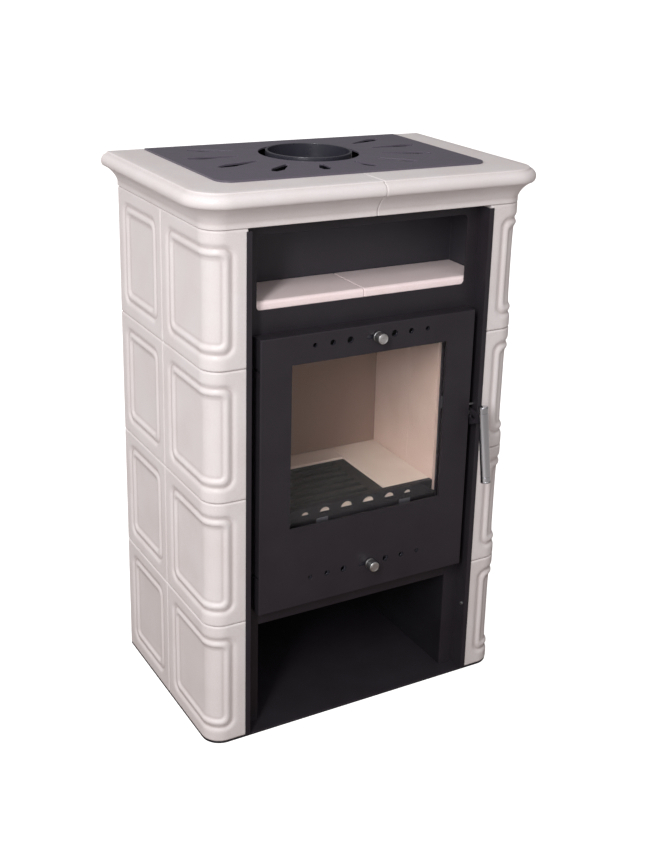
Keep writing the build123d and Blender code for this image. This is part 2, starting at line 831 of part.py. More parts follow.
def glass_screws():
    """Screws that hold the glass clips."""
    back = glass_back + clip_t
    found = []
    for x, height, _ in clip_places():
        shank = rod_y(x, door_t, back, height, screw_r)
        found.append(shank + rod_y(x, back, back + screw_head_t, height, screw_head_r))
    return Compound(found)


def slide_guides():
    """Two angles over and under each air slide, and the air deflector behind the upper one."""
    d_lip = door_t + slide_clear + slide_t + guide_clear
    d1 = d_lip + guide_t
    half = guide_l / 2
    found = []
    for height in (air_lower_z, air_upper_z):
        for side in (-1, 1):
            inner = height + side * (slide_h / 2 + slide_clear)
            outer = inner + side * guide_t
            lip = inner - side * guide_lip
            angle = block(-half, half, door_t, d1, inner, outer)
            found.append(angle + block(-half, half, d_lip, d1, lip, outer))
    over = air_upper_z + slide_h / 2 + slide_clear + guide_t
    deflector = block(-half, half, d1, deflector_back, over - guide_t, over)
    deflector += block(-half, half, deflector_back - guide_t, deflector_back, over - deflector_drop, over)
    found[-1] += deflector
    return Compound(found)


def air_slide(height, lag):
    """Perforated strip behind the door skin, open at rest but for the lag."""
    d0 = door_t + slide_clear
    d1 = d0 + slide_t
    strip = block(-slide_l / 2, slide_l / 2, d0, d1, height - slide_h / 2, height + slide_h / 2)
    for hole in air_hole_row(height, d0, d1, -lag):
        strip = strip - hole
    return strip


def air_knob(height):
    """Turned knob with its neck, at the right end of its slot."""
    knob = rod_y(knob_x, -knob_clear - knob_l, -knob_clear, height, knob_r)
    knob = chamfer(knob.edges().filter_by(GeomType.CIRCLE), knob_edge)
    return knob + rod_y(knob_x, -knob_clear, door_t + slide_clear, height, neck_r)


# ---------------------------------------------------------------- hinge
def hinge_brackets():
    """Two arms on the front panel that reach into the door and carry the pins."""
    found = []
    for height in hinge_heights:
        top = height + hinge_arm_h
        arm = block(-hinge_x - hinge_arm_r, -hinge_x + hinge_arm_r, hinge_depth, recess, height, top)
        arm = arm + rod_z(-hinge_x, hinge_depth, height, top, hinge_arm_r)
        found.append(arm - rod_z(-hinge_x, hinge_depth, height, top, hinge_pin_r))
    return Compound(found)


def hinge_ears():
    """Two ears in the corner of the door, each standing over an arm."""
    found = []
    for height in hinge_heights:
        low = height + hinge_arm_h + hinge_gap
        high = low + hinge_ear_h
        ear = block(-door_inner_x, -hinge_x + hinge_arm_r, door_t, hinge_depth + hinge_arm_r, low, high)
        found.append(ear - rod_z(-hinge_x, hinge_depth, low, high, hinge_pin_r + hinge_clear))
    return Compound(found)


def hinge_pins():
    """Two hinge pins, fixed in the arms."""
    length = hinge_arm_h + hinge_gap + hinge_ear_h + hinge_pin_over
    found = []
    for height in hinge_heights:
        found.append(rod_z(-hinge_x, hinge_depth, height, height + length, hinge_pin_r))
    return Compound(found)


# ---------------------------------------------------------------- latch and handle
grip_top = Vector(latch_x, fy(grip_top_depth), tz(grip_top_z))
grip_low = Vector(latch_x, fy(grip_low_depth), tz(grip_low_z))
grip_along = (grip_low - grip_top).normalized()
grip_l = (grip_low - grip_top).length


def grip_rod(start, end, radius):
    """Cylinder on the grip's axis between two distances from its top."""
    plane = Plane(origin=grip_top + grip_along * start, x_dir=(1, 0, 0), z_dir=grip_along)
    return extrude(plane * Circle(radius), end - start)


def latch_lever():
    """Lever plate: horn behind the catch peg, long slot, front end shaped to the grip."""
    points = [(fy(pivot_depth + depth), tz(pivot_z + height)) for depth, height in lever_outline]
    plate = extrude(Plane.YZ.offset(lever_x0) * make_face(Polyline(*points, close=True)), lever_t)
    slot_back = pivot_depth - lever_slot_back
    slot_top = pivot_z + lever_slot_top
    plate = plate - prism_x(lever_x0, lever_x1, slot_back - lever_slot_l, slot_back,
                            slot_top - lever_slot_h, slot_top, lever_slot_r)
    plate = plate - rod_x(lever_x0, lever_x1, pivot_depth, pivot_z, pivot_r + pivot_clear)
    return plate - grip_rod(0, grip_l, grip_r)


def handle_pivot_pin():
    """Shouldered pin on the door's edge that the lever turns on."""
    head = lever_x1 + lever_play
    pin = rod_x(door_inner_x, head, pivot_depth, pivot_z, pivot_r)
    pin = pin + rod_x(door_x, lever_x0 - lever_play, pivot_depth, pivot_z, pivot_shoulder_r)
    return pin + rod_x(head, head + pivot_head_t, pivot_depth, pivot_z, pivot_head_r)


def handle_grip():
    """Stainless tube grip, welded to the lever."""
    return grip_rod(cap_t, grip_l - cap_t, grip_r) - grip_rod(cap_t, grip_l - cap_t, grip_bore_r)


def grip_cap(start, end, plug_start, plug_end):
    """Cap with its edges broken, and its plug inside the tube."""
    head = grip_rod(start, end, cap_r)
    head = chamfer(head.edges().filter_by(GeomType.CIRCLE), cap_edge)
    return head + grip_rod(plug_start, plug_end, grip_bore_r - cap_clear)


def grip_caps():
    """Turned caps in both ends of the grip."""
    low = grip_l - cap_t
    return Compound([
        grip_cap(0, cap_t, cap_t, cap_t + cap_plug_l),
        grip_cap(low, grip_l, low - cap_plug_l, low),
    ])


def latch_catch():
    """Catch peg on the right post, just over the lever's horn."""
    return rod_x(lever_x0 - lever_play, post_x, pivot_depth + catch_y, pivot_z + catch_z, catch_r)


def all_parts():
    """Every node of the stove by name."""
    parts = tiles()
    singles = [
        base_plate, post_screws, front_panel, frame_sides, back_panel, top_plate, flue_collar,
        niche_box, wood_store_liner, firebox_body, floor_bricks, side_bricks, back_brick,
        rear_insulation, baffle, grate, log_retainer, ash_pan, door_panel, door_back_frame,
        door_gasket, door_glass, glass_gasket, glass_clips, glass_screws, slide_guides,
        hinge_brackets, hinge_ears, hinge_pins, latch_lever, handle_pivot_pin, handle_grip,
        grip_caps, latch_catch,
    ]
    for make in singles:
        parts[make.__name__] = make()
    for make in (cornice_left, shelf_tile_left, front_post_left):
        left = make()
        parts[make.__name__] = left
        parts[make.__name__.replace("left", "right")] = mirrored(left)
    parts["upper_air_slide"] = air_slide(air_upper_z, 0)
    parts["lower_air_slide"] = air_slide(air_lower_z, lower_lag)
    parts["upper_air_knob"] = air_knob(air_upper_z)
    parts["lower_air_knob"] = air_knob(air_lower_z)
    return parts


os.makedirs("parts", exist_ok=True)
for name, shape in all_parts().items():
    export_step(shape, f"parts/{name}.step")
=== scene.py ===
import json
import math
import bpy
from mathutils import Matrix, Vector, noise


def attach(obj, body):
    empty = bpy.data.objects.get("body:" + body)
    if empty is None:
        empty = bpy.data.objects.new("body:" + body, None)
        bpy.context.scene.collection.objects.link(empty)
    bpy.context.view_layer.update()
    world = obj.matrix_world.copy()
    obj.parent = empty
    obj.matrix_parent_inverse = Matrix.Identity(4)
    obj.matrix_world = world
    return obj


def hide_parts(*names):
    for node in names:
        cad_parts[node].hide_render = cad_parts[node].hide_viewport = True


# Looks of the tiled wood stove. Sizes are in millimetres and turned into metres as a mesh is made.
# Depths are given behind the front plane of the tiles, heights above the lowest tile's foot.

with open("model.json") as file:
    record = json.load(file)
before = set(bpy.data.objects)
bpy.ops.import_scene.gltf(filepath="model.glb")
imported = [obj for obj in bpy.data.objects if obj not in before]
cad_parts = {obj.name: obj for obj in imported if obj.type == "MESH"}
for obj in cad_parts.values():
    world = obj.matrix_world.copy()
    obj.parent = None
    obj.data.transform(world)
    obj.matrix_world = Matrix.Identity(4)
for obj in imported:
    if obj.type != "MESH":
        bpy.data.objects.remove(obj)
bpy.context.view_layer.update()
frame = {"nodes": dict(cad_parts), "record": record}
nodes = frame["nodes"]

# ---------------------------------------------------------------- sizes
mm = 0.001
body_d = 373.5            # front plane of the tiles to their back edge
body_w = 587.0            # over the side tiles
base_h = 4.0              # base plate
joint = 0.8               # open joint between tiles
row_h = 222.5             # one course of tiles, joint included
rows = 4
corner_r = 34.0           # rounding of the two front corners, in plan
corner_leg = 180.5        # depth of the joint between corner and flat tiles
front_gap = 448.0         # clear width between the left and right corner tiles
tile_depth = 28.0         # tile with the rim on its back
tile_face = 12.0          # thickness of the tile's face alone
tile_rim = 10.0           # width of the rim
relief_margin = 19.0      # outline of the sunk relief, in from the tile's edge
relief_corner = 23.0
panel_margin = 43.0       # outline of the flat panel inside the relief
panel_corner = 7.0
cornice_h = 59.7
cornice_core = 30.0       # the moulding goes this far behind the tile face
cornice_seat = 60.0       # and its upper ledge this far
cornice_ledge_h = 31.0    # height of that ledge
tiles_h = rows * row_h
side_x = body_w / 2
quarter_turn = math.pi / 2
to_right = Vector((1, 0, 0))
backwards = Vector((0, 1, 0))


def place(x, depth, height):
    """A place in the row frame, in metres."""
    return Vector((x * mm, (depth - body_d / 2) * mm, (height + base_h) * mm))


def smoothstep(low, high, value):
    """0 below low, 1 above high, and smooth between them."""
    t = min(max((value - low) / (high - low), 0.0), 1.0)
    return t * t * (3 - 2 * t)


# ---------------------------------------------------------------- shader helpers
middle = (0.3, 0.7)       # most of a noise texture's values lie between these
white = (1.0, 1.0, 1.0, 1.0)
mix_factor, mix_one, mix_other, mix_result = 0, 6, 7, 2    # sockets of a mix node set to colours
half_bounce = 0.5         # tells a ray that has not bounced from one that has


def srgb(red, green, blue):
    """A colour on the 0 to 255 scale of a screen, as linear values with alpha."""
    linear = []
    for value in (red, green, blue):
        share = value / 255
        linear.append(share / 12.92 if share <= 0.04045 else ((share + 0.055) / 1.055) ** 2.4)
    return (*linear, 1.0)


def put(tree, socket, value):
    """Links a socket to another one or gives it a constant."""
    if isinstance(value, bpy.types.NodeSocket):
        tree.links.new(value, socket)
    else:
        socket.default_value = value


def add_node(tree, kind, **inputs):
    """A node with its inputs given by name, with an underscore for each space."""
    made = tree.nodes.new(kind)
    for name, value in inputs.items():
        put(tree, made.inputs[name.replace("_", " ")], value)
    return made


def add_math(tree, how, one, other):
    """Sum, product or comparison of two values."""
    made = add_node(tree, "ShaderNodeMath")
    made.operation = how
    put(tree, made.inputs[0], one)
    put(tree, made.inputs[1], other)
    return made.outputs[0]


def mix_shaders(tree, factor, one, other):
    """One shader at factor 0, the other at factor 1."""
    made = add_node(tree, "ShaderNodeMixShader")
    put(tree, made.inputs[0], factor)
    put(tree, made.inputs[1], one)
    put(tree, made.inputs[2], other)
    return made.outputs[0]


def seen_directly(tree):
    """1 for rays from the camera, also through glass, and 0 for rays that light a surface."""
    path = add_node(tree, "ShaderNodeLightPath").outputs
    seen = add_math(tree, "MAXIMUM", path["Is Camera Ray"], path["Is Transmission Ray"])
    unscattered = add_math(tree, "LESS_THAN", path["Diffuse Depth"], half_bounce)
    return add_math(tree, "MULTIPLY", seen, unscattered)


class Shader:
    """A material with a Principled shader and short ways to add nodes."""

    def __init__(self, name, colour, roughness, metallic=0.0, gloss=0.5):
        self.material = bpy.data.materials.new(name)
        self.material.use_nodes = True
        self.tree = self.material.node_tree
        self.base = self.tree.nodes["Principled BSDF"]
        self.base.inputs["Base Color"].default_value = colour
        self.base.inputs["Roughness"].default_value = roughness
        self.base.inputs["Metallic"].default_value = metallic
        self.base.inputs["Specular IOR Level"].default_value = gloss
        self.where = self.node("ShaderNodeTexCoord").outputs["Object"]

    def node(self, kind, **inputs):
        return add_node(self.tree, kind, **inputs)

    def stretched(self, x, y, z):
        """Object coordinates scaled along the three axes."""
        return self.node("ShaderNodeMapping", Vector=self.where, Scale=(x, y, z)).outputs[0]

    def noise(self, size, detail=3.0, roughness=0.5, where=None):
        """Noise with blotches of about size, in millimetres, from 0 to 1."""
        made = self.node("ShaderNodeTexNoise", Vector=where or self.where, Scale=1 / (size * mm),
                         Detail=detail, Roughness=roughness)
        return made.outputs[0]

    def ramp(self, value, low, high, to_low=0.0, to_high=1.0):
        """The value's stretch from low to high, spread over to_low to to_high."""
        made = self.node("ShaderNodeMapRange", Value=value, From_Min=low, From_Max=high,
                         To_Min=to_low, To_Max=to_high)
        return made.outputs[0]

    def mix(self, factor, one, other, how="MIX"):
        """Colour mix."""
        made = self.node("ShaderNodeMix")
        made.data_type = "RGBA"
        made.blend_type = how
        put(self.tree, made.inputs[mix_factor], factor)
        put(self.tree, made.inputs[mix_one], one)
        put(self.tree, made.inputs[mix_other], other)
        return made.outputs[mix_result]

    def times(self, tone, tint):
        """Product of two colours."""
        return self.mix(1.0, tone, tint, "MULTIPLY")

    def tinted(self, share, tone, tint):
        """The tone where share is 0, and the tone times the tint where it is 1."""
        return self.mix(share, tone, self.times(tone, tint))

    def math(self, how, one, other):
        return add_math(self.tree, how, one, other)

    def colour(self, socket):
        put(self.tree, self.base.inputs["Base Color"], socket)

    def roughness(self, socket):
        put(self.tree, self.base.inputs["Roughness"], socket)

    def bump(self, height, depth):
        """Bump from a 0 to 1 height that stands for depth millimetres."""
        made = self.node("ShaderNodeBump", Height=height, Distance=depth * mm)
        put(self.tree, self.base.inputs["Normal"], made.outputs[0])

    def surface(self, socket):
        put(self.tree, self.tree.nodes["Material Output"].inputs["Surface"], socket)


# ---------------------------------------------------------------- materials
def glaze_material(name, pale, pooled):
    """Satin glaze: pale over the raised edges, greyer where it pools, with a fine grain."""
    made = Shader(name, pale, roughness=0.42, gloss=0.4)
    pool = made.node("ShaderNodeAttribute")
    pool.attribute_name = "pool"
    tone = made.mix(pool.outputs["Fac"], pale, pooled)
    cloud = made.ramp(made.noise(size=70, detail=2.0), *middle)
    tone = made.tinted(cloud, tone, srgb(250, 248, 247))
    grain = made.ramp(made.noise(size=1.3), low=0.35, high=0.65)
    tone = made.tinted(grain, tone, srgb(247, 245, 244))
    made.colour(tone)
    made.roughness(made.ramp(made.noise(size=14), *middle, to_low=0.38, to_high=0.47))
    ripples = made.math("MULTIPLY", made.noise(size=9, detail=1.0), 1.5)
    made.bump(made.math("ADD", made.noise(size=2.2, detail=2.0), ripples), depth=0.03)
    return made.material


def paint_material(name, colour, roughness, grain_depth=0.05, gloss=0.5):
    """Stove paint with the fine dry grain of heat-proof spray paint."""
    smoother, rougher = roughness - 0.05, roughness + 0.06
    haze = (0.004, 0.004, 0.005, 1.0)
    made = Shader(name, colour, roughness, gloss=gloss)
    cloud = made.ramp(made.noise(size=60), *middle)
    made.colour(made.mix(cloud, colour, made.mix(1.0, colour, haze, "ADD")))
    made.roughness(made.ramp(made.noise(size=25, detail=4.0), *middle, smoother, rougher))
    made.bump(made.noise(size=0.55, detail=2.0), grain_depth)
    return made.material


def steel_material(name, stretch, roughness, colour=srgb(209, 208, 208), line_depth=0.01):
    """Bare steel with fine brush or turning lines, close together along the axes with a large stretch."""
    smoother, rougher = roughness - 0.06, roughness + 0.08
    made = Shader(name, colour, roughness, metallic=1.0)
    lines = made.noise(size=8.0, detail=2.0, where=made.stretched(*stretch))
    darker = made.times(colour, srgb(238, 238, 238))
    made.colour(made.mix(made.ramp(lines, *middle), darker, colour))
    made.roughness(made.ramp(lines, low=0.25, high=0.75, to_low=smoother, to_high=rougher))
    made.bump(lines, line_depth)
    return made.material


def brick_material(name, tint, bright=1.0):
    """Pressed vermiculite with fine flakes and small pores. The tint darkens it, as painted shade on the back
    brick, and bright lightens it as painted light.
    """
    made = Shader(name, srgb(214, 190, 176), roughness=0.9)
    flake = made.ramp(made.noise(size=1.6, detail=4.0, roughness=0.7), low=0.35, high=0.68)
    tone = made.mix(flake, srgb(200, 176, 163), srgb(211, 191, 180))
    cloud = made.ramp(made.noise(size=70), *middle)
    tone = made.tinted(cloud, tone, srgb(245, 240, 237))
    pores = made.ramp(made.noise(size=1.1, detail=1.0), low=0.74, high=0.79)
    tone = made.mix(pores, tone, srgb(160, 132, 114))
    # Painted light and shade: the lining's colour is scaled by the tint and the brightness.
    red, green, blue, alpha = tint
    made.colour(made.times(tone, (bright * red, bright * green, bright * blue, alpha)))
    made.bump(made.noise(size=1.4, roughness=0.6), depth=0.015)
    return made.material


def iron_material():
    """Cast iron with a sandy skin."""
    made = Shader("cast_iron", srgb(30, 30, 31), roughness=0.62)
    cloud = made.ramp(made.noise(size=9, detail=4.0), *middle)
    made.colour(made.mix(cloud, srgb(27, 28, 29), srgb(36, 35, 35)))
    made.bump(made.noise(size=1.3, detail=4.0, roughness=0.6), depth=0.06)
    return made.material


def rope_material():
    """Knitted glass fibre."""
    made = Shader("seal", srgb(74, 72, 70), roughness=0.9)
    wave = made.node("ShaderNodeTexWave", Vector=made.where, Scale=260.0, Distortion=2.0)
    wave.wave_type = "BANDS"
    wave.bands_direction = "DIAGONAL"
    made.colour(made.mix(wave.outputs["Fac"], srgb(52, 50, 49), srgb(96, 93, 90)))
    made.bump(wave.outputs["Fac"], depth=0.5)
    return made.material


def glass_material():
    """Clear heat-proof glass with a faint warm tint, which lets lamps through."""
    made = Shader("window_glass", (0.96, 0.95, 0.935, 1.0), roughness=0.0)
    made.base.inputs["Transmission Weight"].default_value = 1.0
    made.base.inputs["IOR"].default_value = 1.2
    made.roughness(made.ramp(made.noise(size=55), low=0.45, high=0.75, to_low=0.0, to_high=0.03))
    path = made.node("ShaderNodeLightPath")
    clear = made.node("ShaderNodeBsdfTransparent", Color=(0.9, 0.885, 0.865, 1.0))
    shadow = path.outputs["Is Shadow Ray"]
    made.surface(mix_shaders(made.tree, shadow, made.base.outputs[0], clear.outputs[0]))
    return made.material


glaze = glaze_material("glaze", pale=srgb(226, 220, 220), pooled=srgb(197, 187, 185))
# The shelf tiles take a brighter, pinker copy of the glaze, painted light in the niche.
lit_shelf_glaze = glaze_material("glaze_shelf_painted_light", pale=srgb(254, 236, 236), pooled=srgb(222, 202, 201))
dark_paint = paint_material("dark_paint", srgb(42, 38, 43), roughness=0.4, gloss=0.26)
# A darker copy of the stove paint for the wood store and the stand's sides, painted shade.
shaded_paint = paint_material("dark_paint_inside_shaded", srgb(27, 25, 28), roughness=0.5, gloss=0.2)
# A lighter copy of the stove paint for the niche, painted light.
lit_niche_paint = paint_material("dark_paint_niche_painted_light", srgb(58, 55, 61), roughness=0.5, gloss=0.3)
retainer_paint = paint_material("dark_paint_retainer", srgb(33, 31, 35), roughness=0.55, gloss=0.2)
# The top plate's own paint, made lighter and bluer so that it also paints in part of the sky's sheen on it.
plate_paint = paint_material("plate_paint", srgb(91, 85, 97), roughness=0.4, grain_depth=0.03)
inner_paint = paint_material("stove_steel", srgb(44, 43, 53), roughness=0.3, grain_depth=0.03, gloss=1.0)
blackened = paint_material("blackened_steel", srgb(22, 22, 23), roughness=0.6)
turned_steel = steel_material("stainless", stretch=(1, 30, 1), roughness=0.3)
brushed_steel = steel_material("stainless_brushed", stretch=(20, 20, 1), roughness=0.13,
                               colour=srgb(206, 206, 210), line_depth=0.004)
zinc = steel_material("zinc_steel", stretch=(1, 20, 20), roughness=0.42)
dull_steel = steel_material("dull_steel", stretch=(1, 20, 20), roughness=0.45, colour=srgb(112, 111, 118))
# Lit and shaded copies of one lining: the side and floor bricks are brightened as painted light, the back
# brick is darkened as painted shade.
fire_brick = brick_material("fire_brick", srgb(250, 249, 251), bright=1.07)
floor_brick = brick_material("fire_brick_floor_painted_light", srgb(242, 252, 255), bright=1.32)
back_brick = brick_material("fire_brick_back_painted_shade", srgb(178, 168, 164))
board = brick_material("insulation", srgb(225, 225, 225))
cast_iron = iron_material()
seal = rope_material()
window_glass = glass_material()


# ---------------------------------------------------------------- mesh helpers
turned_segments = 64      # sides of a turned shape


def turned(face, turn=True):
    """The face, seen from its other side if turn is set."""
    return tuple(reversed(face)) if turn else face


def make_piece(name, verts, faces, material, body, replaced, mirror=False, sharp=35.0):
    """A mesh piece from places in metres. mirror turns a left piece into its right twin."""
    if mirror:
        verts = [Vector((-v.x, v.y, v.z)) for v in verts]
        faces = [turned(face) for face in faces]
    mesh = bpy.data.meshes.new(name)
    mesh.from_pydata(verts, [], faces)
    mesh.validate()
    mesh.shade_smooth()
    mesh.set_sharp_from_angle(angle=math.radians(sharp))
    mesh.materials.append(material)
    piece = bpy.data.objects.new(name, mesh)
    bpy.context.scene.collection.objects.link(piece)
    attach(piece, body)
    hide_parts(*replaced)
    return piece


def set_pool(piece, values):
    """Stores how deep the glaze lies at each vertex, from 0 to 1."""
    layer = piece.data.attributes.new("pool", "FLOAT", "POINT")
    layer.data.foreach_set("value", values)


def pool_at(pools, where):
    """Pooling of the glaze: each pool has a place, a depth and a width."""
    return sum(depth * math.exp(-((where - at) / width) ** 2) for at, depth, width in pools)


def lathe(rings, origin, along, side, hollow=False):
    """Surface turned about a line: rings are (distance along, radius). A hollow one closes on itself."""
    across = along.cross(side)
    verts, faces = [], []
    for distance, radius in rings:
        for step in range(turned_segments):
            angle = 2 * math.pi * step / turned_segments
            out = side * math.cos(angle) + across * math.sin(angle)
            verts.append(origin + (along * distance + out * radius) * mm)
    for ring in range(len(rings) if hollow else len(rings) - 1):
        for step in range(turned_segments):
            after = (step + 1) % turned_segments
            low, high = ring * turned_segments, (ring + 1) % len(rings) * turned_segments
            faces.append((low + step, low + after, high + after, high + step))
    if not hollow:
        faces.append(turned(tuple(range(turned_segments))))
        faces.append(tuple(range(len(verts) - turned_segments, len(verts))))
    return verts, faces


def round_corner(start, corner, end, steps):
    """Points on a rounded corner between two places of a profile."""
    found = []
    for step in range(steps + 1):
        t = step / steps
        along = [(1 - t) ** 2 * a + 2 * t * (1 - t) * b + t * t * c for a, b, c in zip(start, corner, end)]
        found.append(tuple(along))
    return found


def arc_through(start, via, end, steps):
    """Points on the arc through three points, its start left out."""
    (ax, ay), (bx, by), (cx, cy) = start, via, end
    twice = 2 * (ax * (by - cy) + bx * (cy - ay) + cx * (ay - by))
    a2, b2, c2 = ax * ax + ay * ay, bx * bx + by * by, cx * cx + cy * cy
    ox = (a2 * (by - cy) + b2 * (cy - ay) + c2 * (ay - by)) / twice
    oy = (a2 * (cx - bx) + b2 * (ax - cx) + c2 * (bx - ax)) / twice
    radius = math.hypot(ax - ox, ay - oy)
    first = math.atan2(ay - oy, ax - ox)
    turn = math.atan2(cy - oy, cx - ox) - first
    turn = (turn + math.pi) % (2 * math.pi) - math.pi
    found = []
    for step in range(1, steps + 1):
        angle = first + turn * step / steps
        found.append((ox + radius * math.cos(angle), oy + radius * math.sin(angle)))
    return found


def curve_at(points, x):
    """Smooth curve through points, with flat turns at its highs and lows."""
    if x <= points[0][0]:
        return points[0][1]
    slopes = []
    for one, other in zip(points, points[1:]):
        slopes.append((other[1] - one[1]) / (other[0] - one[0]))
    for k, (one, other) in enumerate(zip(points, points[1:])):
        if x <= other[0]:
            break
    ends = []
    for before, after in ((max(k - 1, 0), k), (k, min(k + 1, len(slopes) - 1))):
        product = slopes[before] * slopes[after]
        ends.append(2 * product / (slopes[before] + slopes[after]) if product > 0 else 0.0)
    span = other[0] - one[0]
    t = (x - one[0]) / span
    start = (2 * t ** 3 - 3 * t * t + 1) * one[1] + (t ** 3 - 2 * t * t + t) * span * ends[0]
    return start + (3 * t * t - 2 * t ** 3) * other[1] + (t ** 3 - t * t) * span * ends[1]


def outline_distance(s, z, length, height, margin, radius):
    """How far a point lies inside a rounded rectangle, drawn in by margin."""
    qs = abs(s - length / 2) - (length / 2 - margin) + radius
    qz = abs(z - height / 2) - (height / 2 - margin) + radius
    outside = math.hypot(max(qs, 0), max(qz, 0)) + min(max(qs, qz), 0) - radius
    return -outside


def on_bend(angle):
    """Place in plan and outward normal on the left front corner, at this angle from the side."""
    normal = (-math.cos(angle), -math.sin(angle))
    centre = (-side_x + corner_r, corner_r)
    return (centre[0] + normal[0] * corner_r, centre[1] + normal[1] * corner_r), normal


to_side = (-1.0, 0.0)     # outward normals in plan
to_front = (0.0, -1.0)
side_run = corner_leg - joint / 2 - corner_r    # flat side of a corner tile
bend_run = quarter_turn * corner_r

# ---------------------------------------------------------------- tiles
tile_edge_r = 3.0         # rounding of the edge
tile_corner = 2.0         # corner radius of the face
tile_sharp = 50.0         # angle from which an edge is shaded sharp, in degrees
rim_pool = 0.3            # pooling on the rim and in the hollow
edge_thinning = 0.3       # pooling that the rounded edge takes away
# Section of the relief: distance from the tile's edge, height over its plain border.
relief_section = [
    (0, 0), (14.5, 0), (18.5, -0.25), (21.5, -1.0), (23.6, -2.1), (25.6, -3.0), (27.2, -3.25), (28.8, -2.9),
    (31.0, -1.85), (33.0, -0.95), (35.0, -0.6), (37.0, -0.85), (39.0, -1.8), (41.0, -3.05), (43.0, -3.85),
    (46.0, -4.2), (56.0, -4.5), (75.0, -4.8), (200.0, -4.8),
]
relief_blend = (24, 42)   # here the relief's outline passes from the border's rounding to the panel's
# Pools of glaze: distance from the tile's edge, depth, width.
relief_pools = [(0.0, 0.15, 1.6), (27.2, 0.75, 2.0), (44.5, 0.5, 2.6)]
# Slow waves and small ripples of the face: turns per millimetre, height, step from tile to tile.
face_wave = (0.013, 0.3, 7.3)
face_ripple = (0.05, 0.06, 3.1)
full_wave = 15            # they grow up to this distance from the edge
# Grid lines of a face: distances from the tile's edge, then steps on the bend and on the panel.
edge_lines = [0, 0.12, 0.45, 1.0, 1.8, 2.8, 4.5, 8, 12]
relief_start, relief_step, relief_count = 14.5, 1.25, 26
relief_lines = [relief_start + relief_step * step for step in range(relief_count)]
panel_lines = [48.5, 53]
bend_step = 3.0
panel_step = 9.0
bend_clear = 5            # between the panel's last line and the bend's first one
bend_before = 4           # the bend's lines start this far before it
bend_after = 1            # and end this far after it
least_step = 0.09         # lines closer to the one before are left out
end_clear = 0.1           # and so are lines this close to the end
rounding = 1e-6


def tile_height(s, z, length, height, seed):
    """Height of a tile's face over its plane, and the pooling of its glaze."""
    outer = relief_margin + outline_distance(s, z, length, height, relief_margin, relief_corner)
    inner = panel_margin + outline_distance(s, z, length, height, panel_margin, panel_corner)
    inside = outer + (inner - outer) * smoothstep(*relief_blend, (outer + inner) / 2)
    lift = curve_at(relief_section, max(inside, 0.0))
    edge = min(max(outline_distance(s, z, length, height, 0, tile_corner), 0.0), tile_edge_r)
    drop = tile_edge_r - math.sqrt(tile_edge_r ** 2 - (tile_edge_r - edge) ** 2)
    sway = 0.0
    for turns, depth, shift in (face_wave, face_ripple):
        sway += depth * noise.noise(Vector((s * turns, z * turns, seed * shift)))
    sway *= smoothstep(0, full_wave, edge + max(inside - tile_edge_r, 0))
    pool = pool_at(relief_pools, inside) - edge_thinning * (1 - edge / tile_edge_r)
    return min(lift + sway, 0.0) - drop, min(max(pool, 0.0), 1.0)


def grid_lines(length, bend=None):
    """Places of grid lines along one side of a tile: close at its edges, its relief and its bend."""
    near = edge_lines + relief_lines + panel_lines
    lines = near + [length - line for line in near]
    first, last = near[-1], length - near[-1]
    if bend:
        start, end = bend
        count = int((end - start) / bend_step)
        lines += [start + (end - start) * step / count for step in range(count + 1)]
        last = start - bend_clear
    count = max(int((last - first) / panel_step), 1)
    lines += [first + (last - first) * step / count for step in range(1, count)]
    lines.sort()
    kept = [0.0]
    for line in lines:
        if line - kept[-1] > least_step and (line <= length - end_clear or line >= length - rounding):
            kept.append(line)
    return kept


def flat_path(s):
    """Left side, from the joint with the corner tile to the back: place in plan and outward normal."""
    return (-side_x, corner_leg + joint / 2 + s), to_side


def corner_path(s):
    """Left corner, from its joint round the bend to the front edge."""
    if s < side_run:
        return (-side_x, corner_leg - joint / 2 - s), to_side
    if s < side_run + bend_run:
        return on_bend((s - side_run) / corner_r)
    return (-side_x + corner_r + s - side_run - bend_run, 0.0), to_front


